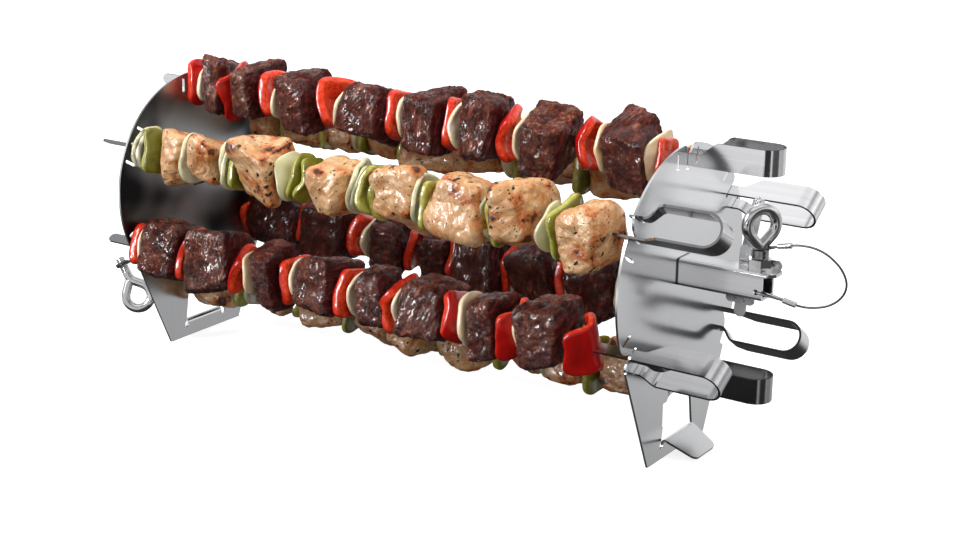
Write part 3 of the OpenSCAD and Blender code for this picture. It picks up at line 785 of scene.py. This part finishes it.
food = {
    "beef": beef_material(),
    "chicken": chicken_material(),
    "red_pepper": skin_material(
        "red_pepper", (0.5, 0.006, 0.004), (0.3, 0.003, 0.002), (0.58, 0.016, 0.005),
        (0.76, 0.09, 0.02), 0.24, 0.3,
    ),
    "green_pepper": skin_material(
        "green_pepper", (0.2, 0.19, 0.016), (0.1, 0.1, 0.008), (0.32, 0.3, 0.045),
        (0.48, 0.45, 0.12), 0.26, 0.5,
    ),
    "onion": skin_material(
        "onion", (0.78, 0.62, 0.4), (0.66, 0.42, 0.21), (0.74, 0.62, 0.42),
        (0.84, 0.74, 0.55), 0.28, 0.4,
    ),
    "green_onion": skin_material(
        "onion_cooked", (0.62, 0.58, 0.36), (0.48, 0.44, 0.22), (0.56, 0.53, 0.34),
        (0.7, 0.67, 0.48), 0.24, 0.5,
    ),
}  # fmt: skip


# ---------------------------------------------------------------- food shapes


def cube_grid(n):
    """Surface of the cube from -1 to 1 as n by n quads a side, without doubles."""
    t = np.linspace(-1, 1, n + 1)
    u, v = np.meshgrid(t, t, indexing="ij")
    one = np.ones_like(u)
    sides = [
        (one, u, v), (-one, v, u), (v, one, u), (u, -one, v), (u, v, one), (v, u, -one),
    ]  # fmt: skip
    points = np.concatenate([np.stack(s, -1).reshape(-1, 3) for s in sides])
    i, j = np.meshgrid(np.arange(n), np.arange(n), indexing="ij")
    a = (i * (n + 1) + j).ravel()
    quad = np.stack([a, a + n + 1, a + n + 2, a + 1], 1)
    quads = np.concatenate([quad + k * (n + 1) ** 2 for k in range(6)])
    _, first, back_to = np.unique(
        np.round(points * 1e5).astype(int), axis=0, return_index=True, return_inverse=True
    )
    return points[first], back_to.ravel()[quads]


CUBE_POINTS, CUBE_QUADS = cube_grid(34)


def chunk(size, fibre_way, rng, power, jitter, bulge, lumps, fibre):
    """One irregular cut of meat about the origin.

    power is how square it is, jitter how far its corners stray, and bulge, lumps and
    fibre the heights of its relief, from wide to narrow, in mm.
    Returns its points, how near they are to an edge, how far they face along X, and
    their places in metres with the meat's fibres along Z.
    """
    p = CUBE_POINTS
    reach = np.sum(np.abs(p) ** power, axis=1) ** (1 / power)
    edge = smoothstep(1.04, 1.0 + 0.9 * (3 ** (1 / power) - 1), reach)
    shape = p / reach[:, None]
    corners = rng.uniform(-1, 1, (8, 3)) * jitter
    moved = np.zeros_like(p)
    for k in range(8):
        sign = np.array([1 if k >> b & 1 else -1 for b in range(3)])
        moved += np.prod((1 + shape * sign) / 2, axis=1)[:, None] * corners[k]
    points = shape * np.array(size) / 2 + moved
    normal = point_normals(points, CUBE_QUADS)
    cut = smoothstep(0.55, 0.9, np.abs(normal[:, 0]))

    seed = rng.uniform(0, 50)
    z_way = np.array(fibre_way, float) / np.linalg.norm(fibre_way)
    x_way = np.cross(z_way, [0.48, 0.6, 0.64])
    x_way /= np.linalg.norm(x_way)
    turn = np.stack([x_way, np.cross(z_way, x_way), z_way], 1)
    local = points @ turn
    thin = local * np.array([1, 1, 0.13])
    push = bulge * noise(points, 1 / 24, seed) + lumps * noise(points, 1 / 8, seed + 3)
    push += lumps * 0.5 * noise(points, 1 / 4, seed + 5)
    push += fibre * (0.6 - 2 * np.abs(noise(thin, 1 / 4.2, seed + 9)))
    push += fibre * 0.5 * (0.6 - 2 * np.abs(noise(thin, 1 / 2.1, seed + 11)))
    points = points + normal * push[:, None]
    return points, edge, cut, local * MM + rng.uniform(0, 1, 3)


def petal(radius, thick, sag, lean, rng, wavy, square, both, sharp=0.6):
    """A dished cut of pepper or a layer of onion, thin along X.

    sag is the depth of the dish, lean the way of its main bend, and both how far it
    also bends the other way. wavy is the height of its ripples in mm. square is the
    power of its outline, 2 for round, and sharp that of its rim, 1 for round and 0 for
    square. Its skin looks along +X when sag is positive.
    """
    rings, around, rim = 14, 72, 7
    theta = np.linspace(0, 2 * math.pi, around, endpoint=False)
    edge_r = (np.abs(np.cos(theta)) ** square + np.abs(np.sin(theta)) ** square) ** (-1 / square)
    phase = rng.uniform(0, 2 * math.pi, 4)
    wave = sum(np.sin((k + 2) * theta + phase[k]) / (k + 2) for k in range(4))
    outline = radius * edge_r * (1 + 0.09 * wave)

    seed = rng.uniform(0, 50)

    def middle(y, z):
        a = (y * math.cos(lean) + z * math.sin(lean)) / radius
        b = (-y * math.sin(lean) + z * math.cos(lean)) / radius
        flat = np.stack([y, z, np.full_like(y, seed)], -1).reshape(-1, 3)
        ripple = wavy * noise(flat, 1 / 9, seed).reshape(y.shape)
        return -sag * (a * a + both * b * b) + ripple

    def normal(y, z):
        e = 0.05
        dy = (middle(y + e, z) - middle(y - e, z)) / (2 * e)
        dz = (middle(y, z + e) - middle(y, z - e)) / (2 * e)
        n = np.stack([np.ones_like(y), -dy, -dz], -1)
        return n / np.linalg.norm(n, axis=-1, keepdims=True)

    half = thick / 2
    inner = np.linspace(0.02, 1, rings)
    rows, skin = [], []
    for side in (1, -1):
        for rho in inner if side == 1 else inner[::-1]:
            y = (outline - half) * rho * np.cos(theta)
            z = (outline - half) * rho * np.sin(theta)
            mid = np.stack([middle(y, z), y, z], -1)
            rows.append(mid + normal(y, z) * half * side)
            skin.append(np.full(around, 1.0 if side == 1 else 0.0))
        if side == 1:
            y, z = (outline - half) * np.cos(theta), (outline - half) * np.sin(theta)
            mid = np.stack([middle(y, z), y, z], -1)
            n = normal(y, z)
            out = np.stack([np.zeros(around), np.cos(theta), np.sin(theta)], -1)
            out -= n * np.sum(n * out, axis=-1, keepdims=True)
            out /= np.linalg.norm(out, axis=-1, keepdims=True)
            for turn in np.linspace(math.pi / 2, -math.pi / 2, rim + 2)[1:-1]:
                c, s = math.cos(turn) ** sharp, math.sin(turn)
                rows.append(mid + half * (out * c + n * s))
                skin.append(np.full(around, smoothstep(0.1, 0.8, s)))
    verts = np.array(rows).reshape(-1, 3)
    count = len(rows)
    k, s = np.meshgrid(np.arange(count - 1), np.arange(around), indexing="ij")
    a, b = (k * around + s).ravel(), (k * around + (s + 1) % around).ravel()
    quads = np.stack([a, a + around, b + around, b], 1)
    caps = [end_cap(0, around, False), end_cap((count - 1) * around, around, True)]
    return verts, np.vstack([quads, *caps]), np.concatenate(skin)


# ---------------------------------------------------------------- kebabs


def islands(node):
    """Span along X, in mm, of each separate piece of food in a CAD node."""
    mesh = nodes[node].data
    x = np.array([v.co.x for v in mesh.vertices]) / MM
    spans = []
    for polygon in mesh.polygons:
        values = x[list(polygon.vertices)]
        spans.append((values.min(), values.max()))
    spans.sort()
    merged = [list(spans[0])]
    for low, high in spans[1:]:
        if low > merged[-1][1] + 0.2:
            merged.append([low, high])
        else:
            merged[-1][1] = max(merged[-1][1], high)
    return merged


def turned(points, degrees):
    """Turns points about the X axis."""
    a = math.radians(degrees)
    y, z = points[:, 1].copy(), points[:, 2].copy()
    points = points.copy()
    points[:, 1] = y * math.cos(a) - z * math.sin(a)
    points[:, 2] = y * math.sin(a) + z * math.cos(a)
    return points


def tilted(points, degrees, axis):
    """Turns points about the Y or Z axis."""
    way = {"y": Vector((0, 1, 0)), "z": Vector((0, 0, 1))}[axis]
    m = np.array(Matrix.Rotation(math.radians(degrees), 3, way))
    return points @ m.T


BEEF = (1, 3, 5)
# How pale each beef row is cooked, from and to; the middle row, which lies back in the shade, is painted
# darkest as painted shade
BEEF_TONE_AND_SHADE = {1: (0.3, 1.0), 3: (0.0, 0.2), 5: (0.2, 0.9)}
# The chicken on the second skewer is cut smaller across
SMALL_CHICKEN = np.array([1, 0.86, 0.86])
# The most, in mm, that the last piece of meat stands out of its place towards the plate
FLATTEN = 1.4
# Seeds of the random draws for each kind of food
MEAT_SEED, PEPPER_SEED, ONION_SEED = 100, 1000, 5000


def place_on_skewer(points, i, x):
    """From a piece's own frame, with its top up, to its place on skewer i."""
    a = SKEWER_ANGLES[i]
    return points + np.array([x, BLADE_R * math.cos(a), BLADE_R * math.sin(a)])


def make_meat(i):
    beef = i in BEEF
    node = f"kebab_{i}_meat"
    build = Build(f"beef_{i}" if beef else f"chicken_{i}")
    spans = islands(node)
    for j, (x0, x1) in enumerate(spans):
        rng = np.random.default_rng(MEAT_SEED * i + j)
        w = x1 - x0
        if beef:
            size = (w - 0.5, rng.uniform(36, 40), rng.uniform(36, 40))
            way = rng.choice([(0.15, 0.3, 1), (0.1, 1, 0.4), (1, 0.2, 0.5)], p=[0.45, 0.3, 0.25])
            way = way + rng.uniform(-0.25, 0.25, 3)
            shape = chunk(size, way, rng, power=8.5, jitter=4.8, bulge=1.7, lumps=0.9, fibre=0.8)
        else:
            size = (w + 1, rng.uniform(34, 40), rng.uniform(33, 38))
            way = rng.uniform(-1, 1, 3)
            shape = chunk(size, way, rng, power=5.0, jitter=9.0, bulge=3.6, lumps=1.0, fibre=0.22)
        points, edge, cut, local = shape
        if i == 2:
            points = points * SMALL_CHICKEN
        points = tilted(points, rng.uniform(-9, 9), "y")
        points = tilted(points, rng.uniform(-8, 8), "z")
        points = turned(points, rng.uniform(-16, 16))
        if j == len(spans) - 1:
            # Flattened where it would meet the right plate when the skewer is pulled
            over = np.maximum(points[:, 0] - w / 2, 0)
            points[:, 0] -= over - FLATTEN * (1 - np.exp(-over / FLATTEN))
        patchy = noise(points, 1 / 11, rng.uniform(0, 40))
        if beef:
            # The middle row also gets more char painted on, as painted shade
            crust = np.clip(edge * 0.75 + 0.35 * patchy + 0.25 * (i == 3), 0, 1)
        else:
            crust = np.clip(edge * 0.42 + 0.75 * patchy, 0, 1)
        points = place_on_skewer(points, i, (x0 + x1) / 2)
        tone = rng.uniform(*BEEF_TONE_AND_SHADE[i]) if beef else 0
        build.add(points, CUBE_QUADS, crust=crust, cut=cut, tone=tone, local=local)
    kind = "beef" if beef else "chicken"
    return build.finish(food[kind], f"skewer_{i}", node)


def add_petal(build, i, x, rng, shape, flip, sway, burn):
    """Puts one petal on a skewer; sway is how far it may lean, and burn how charred it is."""
    verts, quads, skin = shape
    if flip:
        verts = verts * np.array([-1, 1, 1])
        quads = quads[:, ::-1]
    verts = verts - np.array([(verts[:, 0].min() + verts[:, 0].max()) / 2, 0, 0])
    verts = tilted(verts, rng.uniform(-sway, sway), "y")
    verts = tilted(verts, rng.uniform(-sway, sway), "z")
    verts = turned(verts, rng.uniform(-22, 22)) + np.array([0, *rng.uniform(-1.2, 1.2, 2)])
    crust = np.clip(0.45 * noise(verts, 1 / 8, rng.uniform(0, 40)) + burn, 0, 1)
    build.add(place_on_skewer(verts, i, x), quads, skin=skin, crust=crust)


def make_peppers(i):
    red = i in BEEF
    node = f"kebab_{i}_peppers"
    kind = "red_pepper" if red else "green_pepper"
    build = Build(f"{kind}_{i}")
    for j, (x0, x1) in enumerate(islands(node)):
        rng = np.random.default_rng(PEPPER_SEED * i + j)
        w, x = x1 - x0, (x0 + x1) / 2
        if i == 1 and j == 0:
            x += 0.6  # clear of the left plate
        flip = rng.random() < 0.5
        lean = rng.uniform(0, 3.1)
        if w > 20:
            # The round end of a pepper, open towards the handles, or a saddle across them
            both, square = (0.7, 2.8) if i == 1 else (0.04, 5.0)
            thick = 4.8
            sag = (w - thick) / (1 + both)
            shape = petal(16, thick, sag, 0, rng, wavy=1.0, square=square, both=both, sharp=0.35)
            add_petal(build, i, x, rng, shape, i == 1, sway=3, burn=0.1)
        elif w > 15 and not red:
            for side in (-1, 1):
                radius, sag = rng.uniform(14, 16.5), rng.uniform(5, 8)
                shape = petal(
                    radius, 4.2, sag, lean, rng, wavy=1.4, square=3.5, both=0.2, sharp=0.4
                )
                add_petal(build, i, x + side * 3.4, rng, shape, flip, sway=9, burn=0.25)
        else:
            thick = min(rng.uniform(5.0, 6.6), w * 0.75)
            # The last piece of the top row is a small one, down behind the plate
            radius = rng.uniform(15, 17) if w > 4 else 11
            sag = (w - thick) * 0.9
            shape = petal(
                radius, thick, sag, lean, rng, wavy=0.9, square=5.0, both=0.25, sharp=0.28
            )
            burn = 0.5 if i == 6 and j == 0 else 0.2
            add_petal(build, i, x, rng, shape, flip, sway=6, burn=burn)
    return build.finish(food[kind], f"skewer_{i}", node)


def make_onions(i):
    node = f"kebab_{i}_onions"
    build = Build(f"onion_{i}")
    for j, (x0, x1) in enumerate(islands(node)):
        rng = np.random.default_rng(ONION_SEED * i + j)
        w = x1 - x0
        layers = 1 if w < (7.5 if i in BEEF else 9.5) else 2
        flip = rng.random() < 0.5
        lean = rng.uniform(0, 3.1)
        for k in range(layers):
            thick = rng.uniform(2.4, 3.6) if layers == 1 else rng.uniform(2.8, 4.0)
            radius, sag = rng.uniform(14.5, 17.5), max(w * 0.8, 3)
            shape = petal(radius, thick, sag, lean, rng, wavy=1.0, square=2.3, both=0.35)
            x = (x0 + x1) / 2 + (k - (layers - 1) / 2) * (w - thick) * 0.55
            burn = 0.55 if i == 6 and j == 0 else 0.2
            add_petal(build, i, x, rng, shape, flip, sway=7, burn=burn)
    kind = "onion" if i in BEEF else "green_onion"
    return build.finish(food[kind], f"skewer_{i}", node)


served = [make(i) for i in SKEWER_ANGLES for make in (make_meat, make_peppers, make_onions)]


# ---------------------------------------------------------------- studio


def flat_panel(name, corners):
    """A single flat quad."""
    mesh = bpy.data.meshes.new(name)
    mesh.from_pydata(corners, [], [(0, 1, 2, 3)])
    panel = bpy.data.objects.new(name, mesh)
    scene.collection.objects.link(panel)
    return panel


FLOOR_HALF = 14.0
floor_corners = [
    (x * FLOOR_HALF, y * FLOOR_HALF, TABLE_Z) for x, y in ((-1, -1), (1, -1), (1, 1), (-1, 1))
]
floor = flat_panel("floor", floor_corners)
paper = Shader("floor_paper", Roughness=0.9)
paper.set(
    Base_Color=paper.mix(paper.noise(3, 2), (0.5, 0.5, 0.5), (0.52, 0.52, 0.52)),
    Emission_Color=(1, 1, 1, 1),
    Emission_Strength=0.8,
    Specular_IOR_Level=0.0,
)
floor.data.materials.append(paper.material)
floor.visible_glossy = False
floor.visible_diffuse = False


def softbox(name, place, target, width, height, power):
    """A lamp with a rectangular face, turned to a target."""
    light = bpy.data.lights.new(name, "AREA")
    light.shape = "RECTANGLE"
    light.size, light.size_y = width, height
    light.energy = power
    lamp = bpy.data.objects.new(name, light)
    scene.collection.objects.link(lamp)
    lamp.location = place
    way = Vector(target) - Vector(place)
    lamp.rotation_euler = way.to_track_quat("-Z", "Y").to_euler()
    return lamp


softbox("key_left", (-0.95, -1.45, 1.05), (0, 0, 0), 0.5, 0.6, 36)
# Two lamps that only draw wet highlights on the food
wet_food = bpy.data.collections.new("wet_food")
for piece in served:
    wet_food.objects.link(piece)
for name, place, width, height, power in (
    ("sparkle_low", (-0.75, -1.6, 0.16), 0.34, 0.26, 30),
    ("sparkle_high", (-0.45, -1.5, 0.6), 0.3, 0.26, 22),
):
    sparkle = softbox(name, place, (0, 0, 0), width, height, power)
    sparkle.visible_diffuse = False
    sparkle.light_linking.receiver_collection = wet_food
softbox("top", (0.1, 0.25, 1.6), (0, 0, 0), 1.4, 0.8, 24).visible_glossy = False
softbox("fill_right", (1.6, -0.9, 0.7), (0.1, 0, 0), 0.8, 1.0, 8).visible_glossy = False

# Black cards beside the camera, only seen in reflections: they draw the dark bands on
# the rounded ends of the handles, and darken the lowest one
black = Shader("black_card", Roughness=0.9)
black.set(Base_Color=black.mix(black.noise(8, 2), (0.015, 0.015, 0.015), (0.02, 0.02, 0.02)))
CARD_Y = -0.4
for name, x0, x1, z0, z1 in (
    ("card_handles", 0.3, 0.66, -0.085, 0.06),
    ("card_low", -0.03, 0.6, -0.36, -0.165),
):
    corners = [(x0, CARD_Y, z0), (x1, CARD_Y, z0), (x1, CARD_Y, z1), (x0, CARD_Y, z1)]
    card = flat_panel(name, corners)
    card.data.materials.append(black.material)
    card.visible_camera = card.visible_diffuse = card.visible_shadow = False

# The room seen in the steel: bands of light by height, a dark corner that the left
# plate's inner face looks at, and a dark end that rounds off the handles and rods
world = bpy.data.worlds.new("studio")
scene.world = world
world.use_nodes = True
room = Nodes(world.node_tree)
way = room.node("TexCoord").outputs["Generated"]
across = room.split(way)


def wall(levels):
    """Brightness by height, from -1 straight down to 1 straight up."""
    height = room.node("MapRange", {"Value": across["Z"], "From Min": -1.0}).outputs["Result"]
    ramp = room.node("ValToRGB", {"Fac": height})
    stops = ramp.color_ramp.elements
    while len(stops) < len(levels):
        stops.new(0.5)
    for stop, (z, level) in zip(stops, levels):
        stop.position = (z + 1) / 2
        stop.color = (level, level, level * 1.01, 1)
    return ramp.outputs["Color"]


back_wall = wall([
    (-1.0, 0.03), (-0.7, 0.035), (-0.54, 0.08), (-0.38, 0.5), (-0.28, 0.74), (-0.18, 0.84),
    (0.05, 0.6), (0.29, 1.25), (0.53, 0.85), (0.72, 0.4), (0.88, 1.1), (1.0, 0.9),
])  # fmt: skip
front_wall = wall([
    (-1.0, 0.06), (-0.55, 0.05), (-0.4, 0.26), (-0.32, 0.58), (-0.25, 0.92), (-0.14, 1.0),
    (0.0, 0.45), (0.3, 0.85), (0.6, 0.4), (0.75, 0.2), (0.9, 1.1), (1.0, 0.9),
])  # fmt: skip
walls = room.mix(room.ramp(across["Y"], -0.25, 0.25), front_wall, back_wall)


def dark_side(direction, from_cosine, to_cosine, level):
    """Factor that falls to a level round one direction of the room."""
    cosine = room.dot(way, Vector(direction).normalized())
    return room.ramp(cosine, from_cosine, to_cosine, 1.0, level)


corner = dark_side((0.80, 0.55, -0.24), 0.92, 0.98, 0.66)
far_right = dark_side((0.96, -0.2, -0.18), 0.88, 0.96, 0.1)
lit = room.scaled(walls, room.math("MULTIPLY", corner, far_right))
# Behind the floor's edge the backdrop is as white as the floor
seen = room.node("LightPath").outputs["Is Camera Ray"]
background = world.node_tree.nodes["Background"]
room.put(background.inputs["Color"], room.mix(seen, lit, (1.15, 1.15, 1.15)))
room.put(background.inputs["Strength"], 0.9)
